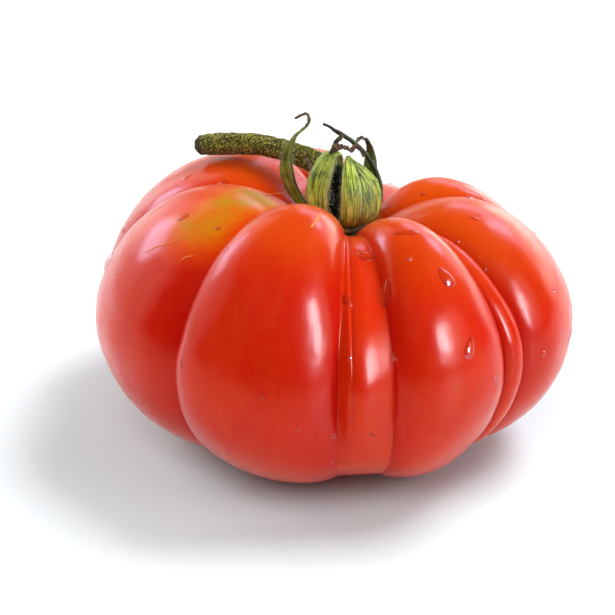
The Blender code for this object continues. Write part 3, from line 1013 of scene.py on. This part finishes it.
def make_drops(tree):
    """The drops that the camera sees, then smaller ones, scattered over the rest of the fruit."""
    dice = random.Random(11)
    _, right, up = camera_axes()
    drops, taken = [], []
    for x, y, wide, tall, turn in DROPS:
        spot, normal, _, distance = tree.ray_cast(camera_place(), pixel_way(x, y))
        if spot is None:
            continue
        scale = distance / MM / (PIXELS_PER_MM * CAMERA_DISTANCE)
        lean = math.radians(turn)
        seen = right * math.sin(lean) - up * math.cos(lean)
        if wide > tall:
            wide, tall = tall, wide
            seen = right * math.cos(lean) + up * math.sin(lean)
        long_way = (seen - normal * seen.dot(normal)).normalized()
        drops.append(make_drop(len(drops), tree, spot, normal, long_way, tall * scale / 2, wide * scale / 2))
        taken.append(spot)
    tries = 0
    while len(drops) < len(DROPS) + SCATTERED_DROPS and tries < SCATTER_TRIES:
        tries += 1
        angle, drop_height = dice.uniform(0, math.tau), dice.uniform(8, 60)
        side = Vector((math.sin(angle), -math.cos(angle), 0))
        if side.y < -0.1:
            continue
        origin = Vector((AXIS_X, AXIS_Y, drop_height)) * MM + side * 0.12 + Vector((0, 0, 0.03))
        spot, normal, _, _ = tree.ray_cast(origin, (-side + Vector((0, 0, -0.25))).normalized())
        gap = DROP_GAP * MM
        if spot is None or spot.z < gap or any((spot - other).length < gap for other in taken):
            continue
        down = Vector((0, 0, -1))
        long_way = (down - normal * down.dot(normal)).normalized()
        half_wide = dice.choice(DROP_HALF_WIDTHS)
        half_long = half_wide * dice.uniform(1.0, 1.5)
        drops.append(make_drop(len(drops), tree, spot, normal, long_way, half_long, half_wide))
        taken.append(spot)
    piece = join_pieces(drops)
    name_piece(piece, "water_drops", water())
    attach(piece, "root")


def make_scars(tree):
    """A thin raised strip along each healed scratch, pointed at both ends."""
    strips = []
    for pixels, width in SCARS:
        clear_selection()
        bpy.ops.mesh.primitive_grid_add(x_subdivisions=4, y_subdivisions=30, size=2)
        strip = bpy.context.object
        line = [(x, y, 0) for x, y in pixels]
        places = []
        for vertex in strip.data.vertices:
            along = (vertex.co.y + 1) / 2
            here, ahead = spline(line, along), spline(line, min(along + 0.02, 1))
            behind = spline(line, max(along - 0.02, 0))
            way = (ahead - behind).normalized()
            half = width * PIXELS_PER_MM / 2 * math.sin(math.pi * min(max(along, 0.02), 0.98)) ** 0.6
            half *= 1 + 0.35 * rough((along * 30, 0, width * 10), 3.0)
            pixel = here + Vector((way.y, -way.x, 0)) * half * vertex.co.x
            spot, normal, _, _ = tree.ray_cast(camera_place(), pixel_way(pixel.x, pixel.y))
            places.append(spot + normal * (0.02 + 0.05 * (1 - vertex.co.x**2)) * MM)
        write_places(strip.data, np.array(places))
        thickness = strip.modifiers.new("thickness", "SOLIDIFY")
        thickness.thickness = SCAR_THICKNESS * MM
        thickness.offset = 0
        bpy.ops.object.modifier_apply(modifier=thickness.name)
        strips.append(strip)
    piece = join_pieces(strips)
    bpy.ops.object.mode_set(mode="EDIT")
    bpy.ops.mesh.select_all(action="SELECT")
    bpy.ops.mesh.normals_make_consistent(inside=False)
    bpy.ops.object.mode_set(mode="OBJECT")
    name_piece(piece, "skin_scars", scar_tissue())
    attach(piece, "root")


def make_blossom_scar():
    """The corky mark underneath, where the flower was: a low ragged button in the dimple."""
    button = add_ball(60, 20)
    places = []
    for x, y, z in read_places(button.data):
        angle = math.atan2(y, x)
        ragged = 1 + 0.22 * math.cos(5 * angle + 0.6) + 0.12 * rough((x * 9, y * 9, z), 2.0, 6.0)
        crumple = 0.12 * rough((x * 14, y * 14, z * 5), 2.0, 9.0)
        aside = AXIS_X + x * BUTTON_RADII[0] * ragged
        backwards = AXIS_Y + y * BUTTON_RADII[1] * ragged
        places.append((aside, backwards, BUTTON_HEIGHT + z * BUTTON_HALF_HEIGHT + crumple))
    write_places(button.data, np.array(places) * MM)
    name_piece(button, "blossom_scar", cork())
    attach(button, "root")


# The table and the light.


def make_stage():
    clear_selection()
    bpy.ops.mesh.primitive_plane_add(size=TABLE_SIZE, location=(0, 0, 0))
    table = bpy.context.object
    name_piece(table, "table", white_table())


def add_panel(name, azimuth, elevation, distance, wide, tall, power, diffuse, glossy, colour):
    """A soft panel that faces the fruit from this direction."""
    a, e = math.radians(azimuth), math.radians(elevation)
    way = Vector((math.sin(a) * math.cos(e), -math.cos(a) * math.cos(e), math.sin(e)))
    panel = bpy.data.objects.new(name, bpy.data.lights.new(name, "AREA"))
    bpy.context.scene.collection.objects.link(panel)
    panel.data.shape = "RECTANGLE"
    panel.data.size = wide
    panel.data.size_y = tall
    panel.data.energy = power
    panel.data.color = colour
    panel.visible_diffuse = diffuse
    panel.visible_glossy = glossy
    panel.location = centre() + way * distance
    panel.rotation_mode = "QUATERNION"
    panel.rotation_quaternion = way.to_track_quat("Z", "Y")


def light_room():
    """A dim pale room with the panels in it."""
    world = bpy.data.worlds.new("white_room")
    bpy.context.scene.world = world
    world.use_nodes = True
    shade = world.node_tree.nodes["Background"]
    shade.inputs["Color"].default_value = (0.95, 0.97, 1.0, 1)
    shade.inputs["Strength"].default_value = ROOM_BRIGHTNESS
    for row in PANELS:
        add_panel(*row)


fruit = make_fruit()
make_calyx()
make_stem()
hair = plant_hair()
make_hairs("calyx_hairs", calyx_hair_roots(random.Random(3)), hair)
make_hairs("stem_hairs", stem_hair_roots(random.Random(5)), hair)
skin = BVHTree.FromObject(fruit, bpy.context.evaluated_depsgraph_get())
make_drops(skin)
make_scars(skin)
make_blossom_scar()
make_stage()
light_room()
make_camera()
bpy.context.scene.view_settings.view_transform = "Standard"
